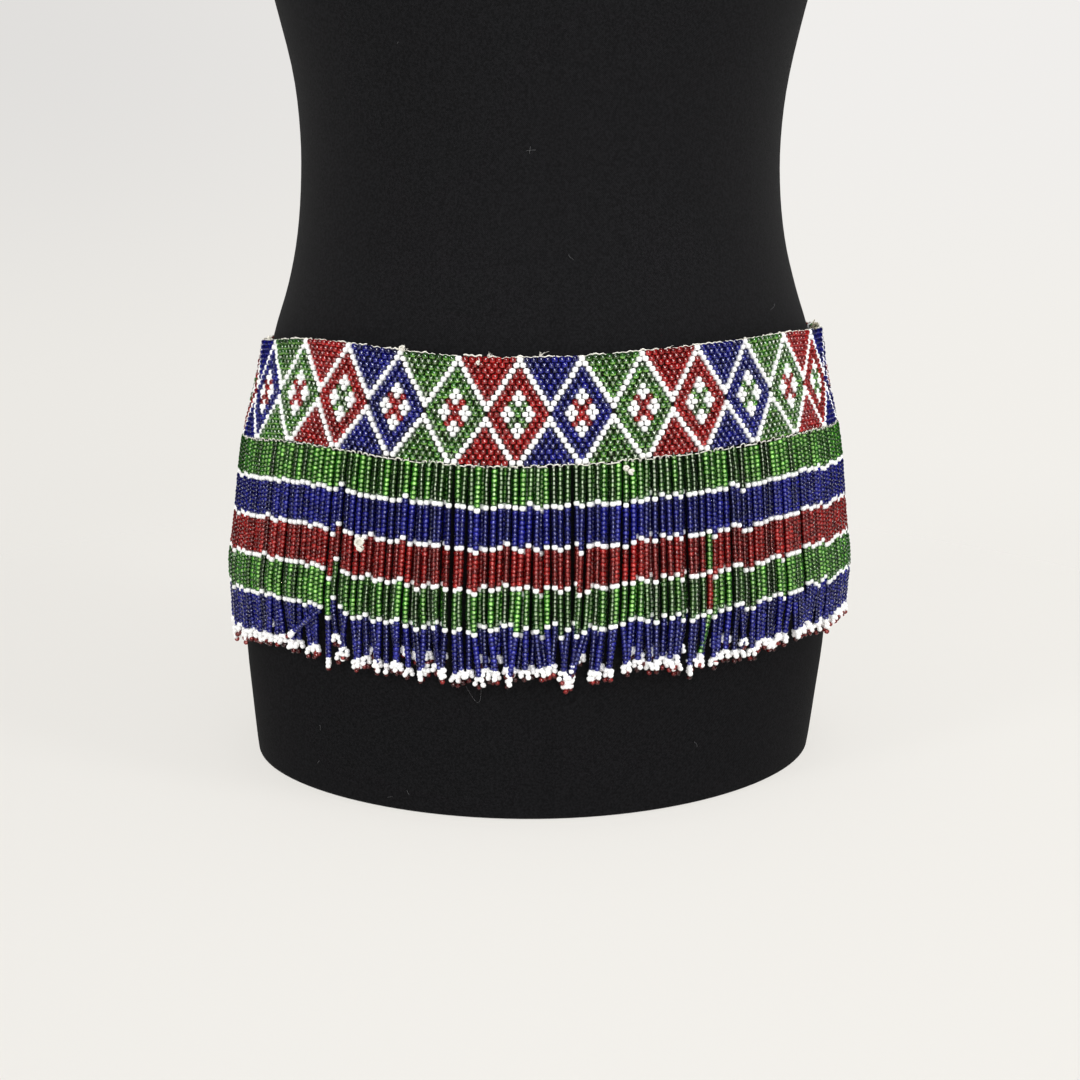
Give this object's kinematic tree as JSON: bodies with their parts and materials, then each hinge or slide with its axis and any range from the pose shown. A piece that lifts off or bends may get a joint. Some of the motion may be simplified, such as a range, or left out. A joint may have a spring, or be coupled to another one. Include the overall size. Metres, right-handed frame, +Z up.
{
  "type": "beaded belly dance hip belt on a dress form",
  "caption": "Hip belt of netted glass beads with diamonds and a banded bead fringe, tied round a limbless black jersey dress form.",
  "frame": {"origin": "centre of the dress form's flat base, where it stands", "axes": "+Z up the dress form, -Y out of its front, +X towards its left hip"},
  "size_m": [0.3756, 0.2707, 0.811],
  "materials": {
    "mixed_beads": "glossy seed beads in several colours",
    "white_beads": "opaque white, glossy",
    "blue_beads": "deep blue glass, glossy",
    "green_beads": "green glass, glossy",
    "red_beads": "dark red glass, glossy",
    "cotton": "unbleached cotton thread and cord",
    "jersey": "matt black knitted jersey"
  },
  "bodies": {
    "root": {"belt_band": "mixed_beads", "belt_fringe": "mixed_beads", "tie_upper": "cotton", "tie_lower": "cotton", "dress_form": "jersey"}
  },
  "joints": []
}
